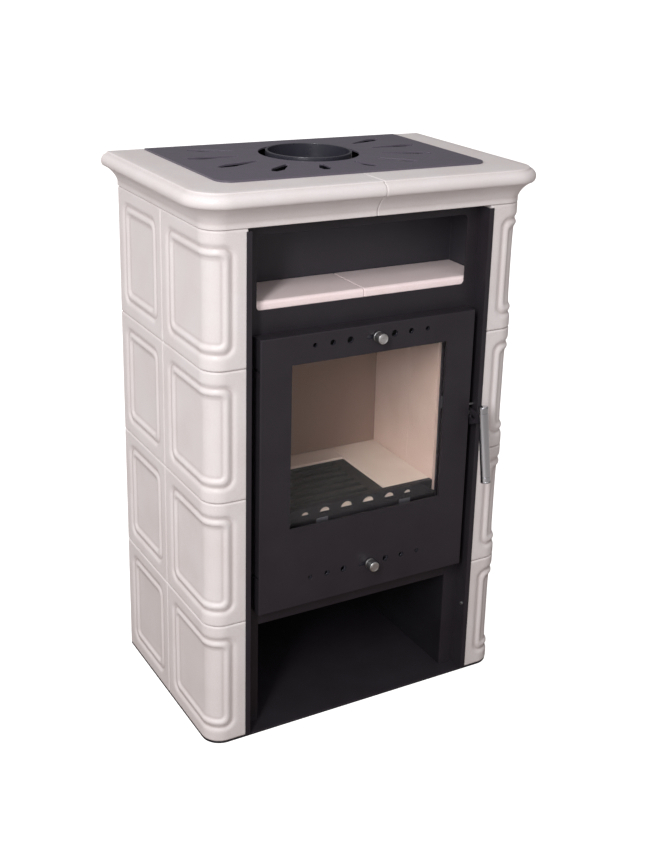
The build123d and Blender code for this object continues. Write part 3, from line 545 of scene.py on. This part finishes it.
def tile_mesh(path, length, foot, seed, bend):
    """Front face, rim and hollow back of one tile."""
    height = row_h - joint
    s_lines, z_lines = grid_lines(length, bend), grid_lines(height)
    columns, floors = len(s_lines), len(z_lines)
    verts, pools, faces = [], [], []

    def add(s, z, lift, pool=rim_pool):
        (x, y), (nx, ny) = path(s)
        verts.append(place(x + nx * lift, y + ny * lift, foot + z))
        pools.append(pool)
        return len(verts) - 1

    front = [[add(s, z, *tile_height(s, z, length, height, seed)) for z in z_lines] for s in s_lines]
    for i in range(columns - 1):
        for j in range(floors - 1):
            faces.append((front[i][j], front[i + 1][j], front[i + 1][j + 1], front[i][j + 1]))
    ring = [(i, 0) for i in range(columns)] + [(columns - 1, j) for j in range(1, floors)]
    ring += [(i, floors - 1) for i in range(columns - 2, -1, -1)] + [(0, j) for j in range(floors - 2, 0, -1)]
    back = {(i, j): add(s_lines[i], z_lines[j], -tile_depth) for i, j in ring}
    for one, other in zip(ring, ring[1:] + ring[:1]):
        faces.append((front[one[0]][one[1]], back[one], back[other], front[other[0]][other[1]]))
    # The rim and the hollow behind the face.
    sides = (tile_rim, height - tile_rim)
    inner = [tile_rim] + [s for s in s_lines if tile_rim < s < length - tile_rim] + [length - tile_rim]
    rims = [[add(s, z, -tile_depth) for z in sides] for s in inner]
    hollow = [[add(s, z, -tile_face) for z in sides] for s in inner]
    for k in range(len(inner) - 1):
        faces.append((hollow[k][0], hollow[k][1], hollow[k + 1][1], hollow[k + 1][0]))
        for side in (0, 1):
            quad = (rims[k][side], rims[k + 1][side], hollow[k + 1][side], hollow[k][side])
            faces.append(turned(quad, side == 1))
    faces.append((rims[0][0], hollow[0][0], hollow[0][1], rims[0][1]))
    faces.append((rims[-1][1], hollow[-1][1], hollow[-1][0], rims[-1][0]))
    first = max(i for i, s in enumerate(s_lines) if s <= tile_rim)
    last = min(i for i, s in enumerate(s_lines) if s >= length - tile_rim)
    left = [back[(i, 0)] for i in range(first, -1, -1)] + [back[(0, j)] for j in range(1, floors)]
    left += [back[(i, floors - 1)] for i in range(1, first + 1)] + [rims[0][1], rims[0][0]]
    faces.append(tuple(left))
    right = [back[(i, floors - 1)] for i in range(last, columns)]
    right += [back[(columns - 1, j)] for j in range(floors - 2, -1, -1)]
    right += [back[(i, 0)] for i in range(columns - 2, last - 1, -1)] + [rims[-1][0], rims[-1][1]]
    faces.append(tuple(right))
    for side, j in ((0, 0), (1, floors - 1)):
        for k in range(len(inner) - 1):
            quad = (back[(first + k, j)], rims[k][side], rims[k + 1][side], back[(first + k + 1, j)])
            faces.append(turned(quad, side == 1))
    return verts, faces, pools


def make_tiles():
    """All sixteen side tiles."""
    bend_end = side_run + bend_run
    corner_l = bend_end + side_x - corner_r - front_gap / 2
    flat_l = body_d - corner_leg - joint / 2
    kinds = [("flat_tile", flat_path, flat_l, None),
             ("corner_tile", corner_path, corner_l, (side_run - bend_before, bend_end + bend_after))]
    seed = 0
    for kind, path, length, bend in kinds:
        for course in range(rows):
            for side in ("left", "right"):
                seed += 1
                verts, faces, pools = tile_mesh(path, length, course * row_h, seed, bend)
                faces = [turned(face, path is flat_path) for face in faces]
                name = f"{kind}_{side}_{course + 1}"
                piece = make_piece("glazed_" + name, verts, faces, glaze, "stove",
                                   [name], side == "right", tile_sharp)
                set_pool(piece, pools)


make_tiles()

# ---------------------------------------------------------------- cornice
seam_r = 1.6              # rounding of the two halves' ends at the seam
cornice_sharp = 40.0
cornice_pools = [(9.5, 0.45, 2.2), (37.0, 0.35, 2.0), (57.2, 0.4, 0.7)]
# Section of the moulding: out from the tile face, height.
foot_round = ((-1.5, 0.0), (0.0, 0.0), (0.0, 1.5))
fascia_middle = (0.0, 5.0)
fascia_top = (0.0, 10.0)
fascia_round = ((0.0, 8.4), fascia_top, (0.7, 11.8))
cove_middle = (11.0, 26.5)
cove_top = (25.6, 36.6)
cove_from = 1.1           # the cove starts this far out, past the rounding below it
nose_round = ((24.6, 36.0), (25.9, 36.8), (26.6, 38.2))
nose_out = (28.1, 46.5)
nose_top = (19.0, 56.5)
nose_heights = (39.0, 56.0)    # what is kept of the nose's arc
crown = [(19.0, 56.3), (18.5, 56.7), (17.9, 57.2), (17.6, 57.9), (17.2, 58.7), (16.4, 59.4),
         (15.0, cornice_h)]
crown_inside = [(0.0, cornice_h), (-10.0, cornice_h)]
round_steps, nose_round_steps, cove_steps, nose_steps = 4, 3, 18, 16
# Stations along the outline: steps, and distances from the seam.
side_steps, bend_steps, front_steps = 12, 24, 16
seam_lines = [0.0, 0.08, 0.3, 0.7, 1.2, seam_r, 4.0, 10.0]
seam_clear = 2            # between these and the next station
# Slow waves of the moulding.
wave_turns = 0.012        # turns per millimetre in plan
wave_rise = 0.05          # and in height
wave_shift = 31.0
wave_depth = 0.25
wave_out = 1.0            # only points further out than this take part
wave_low = (12, 20)       # heights over which the waves grow
wave_high = (58, 52)      # and fade again
same_place = 0.01         # corners are shared on a grid of this step


def cornice_section():
    """Skin of the moulding, from its foot to its crown."""
    skin = round_corner(*foot_round, round_steps)
    skin += [fascia_middle] + round_corner(*fascia_round, round_steps)
    cove = arc_through(fascia_top, cove_middle, cove_top, cove_steps)
    skin += [point for point in cove if point[0] > cove_from][:-1]
    skin += round_corner(*nose_round, nose_round_steps)
    nose = arc_through(cove_top, nose_out, nose_top, nose_steps)
    skin += [point for point in nose if nose_heights[0] < point[1] < nose_heights[1]]
    return skin + crown


def cornice_plan():
    """Outline of the left half from the back to the seam: place in plan and outward normal."""
    found = []
    for step in range(side_steps + 1):
        depth = body_d - (body_d - corner_r) * step / side_steps
        found.append(((-side_x, depth), to_side))
    for step in range(1, bend_steps + 1):
        found.append(on_bend(quarter_turn * step / bend_steps))
    straight = side_x - corner_r - joint / 2
    stops = [straight - straight * step / front_steps for step in range(1, front_steps)]
    stops = [stop for stop in stops if stop > seam_lines[-1] + seam_clear] + seam_lines
    found += [((-joint / 2 - stop, 0.0), to_front) for stop in sorted(stops, reverse=True)]
    return found


def outward_normals(section, count):
    """Outward directions at the first count points of a section."""
    normals = []
    for k in range(count):
        (ax, ay), (bx, by) = section[max(k - 1, 0)], section[k + 1]
        length = math.hypot(bx - ax, by - ay)
        normals.append(((by - ay) / length, -(bx - ax) / length))
    return normals


def make_cornice(side):
    """One half of the cornice, with its core and the ledge under the top plate."""
    skin = cornice_section()
    ledge = cornice_h - cornice_ledge_h
    inner = [(-cornice_seat, cornice_h), (-cornice_seat, ledge), (-cornice_core, ledge), (-cornice_core, 0.0)]
    section = skin + crown_inside + inner
    normals = outward_normals(section, len(skin))
    verts, faces, pools, stations, known = [], [], [], [], {}
    for (x, depth), (nx, ny) in cornice_plan():
        station = []
        to_seam = -joint / 2 - x if ny == -1.0 else seam_r
        in_seam = seam_r - min(to_seam, seam_r)
        drop = seam_r - math.sqrt(seam_r ** 2 - in_seam ** 2)
        for k, (out, up) in enumerate(section):
            if k < len(skin):
                out -= normals[k][0] * drop
                up -= normals[k][1] * drop
            elif up == cornice_h and out > -cornice_seat:
                up -= drop
            up = min(max(up, 0.0), cornice_h)
            if out > wave_out:
                wave = noise.noise(Vector((x * wave_turns, depth * wave_turns, up * wave_rise + wave_shift)))
                out -= wave_depth * (wave + 1) * smoothstep(*wave_low, up) * smoothstep(*wave_high, up)
            at = (x + nx * out, depth + ny * out)
            if out < -corner_r:
                # Behind the bend's centre the ledge keeps a square corner.
                at = (max(at[0], -side_x - out), max(at[1], -out))
            corner = place(*at, tiles_h + up)
            key = tuple(round(share / (same_place * mm)) for share in corner)
            if key not in known:
                known[key] = len(verts)
                verts.append(corner)
                pools.append(pool_at(cornice_pools, up))
            station.append(known[key])
        stations.append(station)
    for one, other in zip(stations, stations[1:]):
        for k in range(len(section)):
            after = (k + 1) % len(section)
            corners = tuple(dict.fromkeys((one[k], other[k], other[after], one[after])))
            if len(corners) > 2:
                faces.append(corners)
    faces.append(tuple(stations[0]))
    faces.append(turned(stations[-1]))
    name = "cornice_" + side
    piece = make_piece("glazed_" + name, verts, faces, glaze, "stove", [name], side == "right",
                       cornice_sharp)
    set_pool(piece, pools)


for side in ("left", "right"):
    make_cornice(side)

# ---------------------------------------------------------------- handle and knobs
grip_x = 211.0
grip_top = place(grip_x, -29.0, 542.0)
grip_low = place(grip_x, -51.0, 406.0)
grip_along = (grip_low - grip_top).normalized()
grip_l = (grip_low - grip_top).length / mm
grip_r = 8.7
grip_edge = 0.3
grip_bore_r = 6.5
groove_at = 8.0
groove = [(0.0, 0.0), (0.25, 0.6), (0.95, 0.6), (1.2, 0.0)]    # distance along, depth
cap_t = 3.0
# Turned shapes: distance along the axis, radius.
cap_rings = [(0.0, 7.4), (0.15, 8.1), (0.5, 8.7), (1.0, 9.0), (2.0, 9.0), (2.35, 8.85), (2.6, 8.5),
             (3.0, 8.35), (3.0, 6.4), (14.6, 6.4), (15.0, 6.0)]
knob_rings = [(0.0, 6.2), (0.22, 6.5), (0.22, 6.9), (0.0, 7.2), (0.0, 8.0), (0.2, 8.55), (0.6, 8.9),
              (1.1, 9.0), (13.4, 9.0), (13.7, 8.6), (14.7, 8.6), (15.0, 9.0), (18.1, 9.0), (18.7, 8.75),
              (19.0, 8.1), (19.0, 3.2), (23.3, 3.2)]
knob_x = 8.3
knob_front = -20.0        # depth of the knobs' outer ends
upper_knob_z = 689.5
lower_knob_z = 274.8


def make_grip():
    """Tube of the handle and its two turned caps."""
    start, end = cap_t, grip_l - cap_t
    rings = [(start, grip_r - grip_edge), (start + grip_edge, grip_r)]
    rings += [(start + groove_at + along, grip_r - depth) for along, depth in groove]
    rings += [(end - groove_at - along, grip_r - depth) for along, depth in reversed(groove)]
    rings += [(end - grip_edge, grip_r), (end, grip_r - grip_edge), (end, grip_bore_r), (start, grip_bore_r)]
    verts, faces = lathe(rings, grip_top, grip_along, to_right, hollow=True)
    make_piece("tube_grip", verts, faces, brushed_steel, "latch", ["handle_grip"])
    verts, faces = lathe(cap_rings, grip_top, grip_along, to_right)
    more, more_faces = lathe(cap_rings, grip_low, -grip_along, to_right)
    faces += [tuple(at + len(verts) for at in face) for face in more_faces]
    make_piece("turned_caps", verts + more, faces, brushed_steel, "latch", ["grip_caps"])


def make_knob(node, body, height):
    """Turned air knob with a ring groove and a dished end."""
    verts, faces = lathe(knob_rings, place(knob_x, knob_front, height), backwards, to_right)
    make_piece("turned_" + node, verts, faces, turned_steel, body, [node])


make_grip()
make_knob("upper_air_knob", "upper_slide", upper_knob_z)
make_knob("lower_air_knob", "lower_slide", lower_knob_z)

# ---------------------------------------------------------------- plain nodes
# Material by slot, and by node where it differs, among them the lit and shaded copies that paint light and
# shade.
finish = {
    "dark_paint": dark_paint, "plate_paint": plate_paint, "stove_steel": inner_paint,
    "cast_iron": cast_iron, "stainless": turned_steel, "zinc_steel": zinc, "fire_brick": fire_brick,
    "insulation": board, "seal": seal, "window_glass": window_glass, "glaze": glaze,
}
node_finish = {
    "wood_store_liner": shaded_paint, "niche_box": lit_niche_paint, "frame_sides": shaded_paint,
    "back_brick": back_brick, "floor_bricks": floor_brick, "log_retainer": retainer_paint,
    "slide_guides": blackened, "glass_clips": dull_steel, "glass_screws": dull_steel,
    "shelf_tile_left": lit_shelf_glaze, "shelf_tile_right": lit_shelf_glaze,
}
# How far edges are broken, by node or by material slot.
edge_widths = {
    "dark_paint": 0.6, "plate_paint": 0.7, "stove_steel": 0.6, "cast_iron": 1.6, "fire_brick": 1.2,
    "zinc_steel": 0.3, "insulation": 1.0, "shelf_tile_left": 1.6, "shelf_tile_right": 1.6,
    "base_plate": 0.8, "door_panel": 0.5, "latch_lever": 0.6, "top_plate": 0.4,
}
weld_reach = 0.01
flat_angle = 1.0          # faces closer to flat than this are joined, in degrees
bevel_angle = 40.0        # edges from this angle on are broken
bevel_steps = 3


def break_edges(node, width):
    """Small rounded bevels on the sharp edges of a node."""
    weld = node.modifiers.new("weld", "WELD")
    weld.merge_threshold = weld_reach * mm
    flat = node.modifiers.new("flat", "DECIMATE")
    flat.decimate_type = "DISSOLVE"
    flat.angle_limit = math.radians(flat_angle)
    bevel = node.modifiers.new("bevel", "BEVEL")
    bevel.width = width * mm
    bevel.segments = bevel_steps
    bevel.limit_method = "ANGLE"
    bevel.angle_limit = math.radians(bevel_angle)
    node.modifiers.new("normals", "WEIGHTED_NORMAL")


def dress_nodes():
    """Gives each CAD node that stays its material and softly broken edges."""
    for entry in frame["record"]["subparts"]:
        name, slot = entry["node"], entry["material_slot"]
        node = nodes[name]
        node.data.materials.clear()
        node.data.materials.append(node_finish.get(name, finish[slot]))
        width = edge_widths.get(name, edge_widths.get(slot))
        if width:
            break_edges(node, width)


dress_nodes()

# ---------------------------------------------------------------- stage, camera and light
# Places and sizes of this part are in metres.
floor_reach = 60.0
floor_drop = 0.0005
floor_glow = 0.9
floor_pale = (0.54, 0.515, 0.505, 1.0)
shade_bounce_brown = (0.13, 0.085, 0.06, 1.0)    # floor near the stove, brown only in the light it throws back: painted shade on the lowest tiles
shade_bounce_reach = (0.5, 1.4)                  # distances from the stove's middle, brown to pale
bright_side = (-0.77, -0.36, 0.53)         # direction of the world's brightest side
dim_side = -0.6                            # cosine of the angle to it at which the world is dimmest
world_low = 0.15
world_high = 0.95
world_tint = (1.0, 0.985, 0.985, 1.0)
key_place = (-1.93, -1.96, 2.2)
key_target = (0.0, -0.05, 0.85)
key_width = 0.34
key_height = 1.9
key_power = 58.0
key_colour = (0.975, 0.985, 1.0)
camera_place = (-1.02364, -1.86488, 1.33079)
camera_turn = (71.30998, -2.06374, -30.93662)
camera_lens = 52.70
camera_shift = (-0.06223, -0.09196)


def make_floor():
    """A wide floor that looks white where light falls on it, and gives little light back near the stove."""
    made = Shader("floor", floor_pale, roughness=0.9, gloss=0.0)
    seen = seen_directly(made.tree)
    away = made.node("ShaderNodeVectorMath", Vector=made.where)
    away.operation = "LENGTH"
    # Brown near the stove for the light bounced onto it, as painted shade; pale to the camera.
    share = made.ramp(away.outputs["Value"], *shade_bounce_reach)
    made.colour(made.mix(seen, made.mix(share, shade_bounce_brown, floor_pale), floor_pale))
    glow = made.node("ShaderNodeEmission", Strength=made.math("MULTIPLY", seen, floor_glow))
    both = made.node("ShaderNodeAddShader")
    put(made.tree, both.inputs[0], made.base.outputs[0])
    put(made.tree, both.inputs[1], glow.outputs[0])
    made.surface(both.outputs[0])
    mesh = bpy.data.meshes.new("floor")
    corners = [(-floor_reach, -floor_reach, 0), (floor_reach, -floor_reach, 0),
               (floor_reach, floor_reach, 0), (-floor_reach, floor_reach, 0)]
    mesh.from_pydata(corners, [], [(0, 1, 2, 3)])
    mesh.materials.append(made.material)
    floor = bpy.data.objects.new("floor", mesh)
    bpy.context.scene.collection.objects.link(floor)
    floor.location.z = -floor_drop


def make_world():
    """Soft light from all round, brighter towards the lamp, seen as white."""
    world = bpy.data.worlds.new("studio")
    bpy.context.scene.world = world
    world.use_nodes = True
    tree = world.node_tree
    where = add_node(tree, "ShaderNodeTexCoord")
    towards = add_node(tree, "ShaderNodeVectorMath")
    towards.operation = "DOT_PRODUCT"
    put(tree, towards.inputs[0], where.outputs["Generated"])
    put(tree, towards.inputs[1], bright_side)
    share = add_node(tree, "ShaderNodeMapRange", Value=towards.outputs["Value"], From_Min=dim_side,
                     From_Max=1.0, To_Min=world_low, To_Max=world_high)
    share.interpolation_type = "SMOOTHSTEP"
    dim = tree.nodes["Background"]
    put(tree, dim.inputs["Color"], world_tint)
    put(tree, dim.inputs["Strength"], share.outputs[0])
    bright = add_node(tree, "ShaderNodeBackground", Color=white)
    both = mix_shaders(tree, seen_directly(tree), dim.outputs[0], bright.outputs[0])
    put(tree, tree.nodes["World Output"].inputs["Surface"], both)


def make_lamp():
    """A tall soft lamp box, left of the camera."""
    light = bpy.data.lights.new("key", "AREA")
    light.shape = "RECTANGLE"
    light.size = key_width
    light.size_y = key_height
    light.energy = key_power
    light.color = key_colour
    lamp = bpy.data.objects.new("key", light)
    bpy.context.scene.collection.objects.link(lamp)
    lamp.location = key_place
    lamp.rotation_euler = (Vector(key_target) - Vector(key_place)).to_track_quat("-Z", "Y").to_euler()


def make_camera():
    """The photograph's own viewpoint and lens."""
    camera_data = bpy.data.cameras.new("camera")
    camera_data.lens = camera_lens
    camera_data.shift_x, camera_data.shift_y = camera_shift
    camera = bpy.data.objects.new("camera", camera_data)
    bpy.context.scene.collection.objects.link(camera)
    camera.location = camera_place
    camera.rotation_euler = [math.radians(turn) for turn in camera_turn]
    bpy.context.scene.camera = camera


make_floor()
make_world()
make_lamp()
make_camera()
bpy.context.scene.view_settings.view_transform = "Standard"
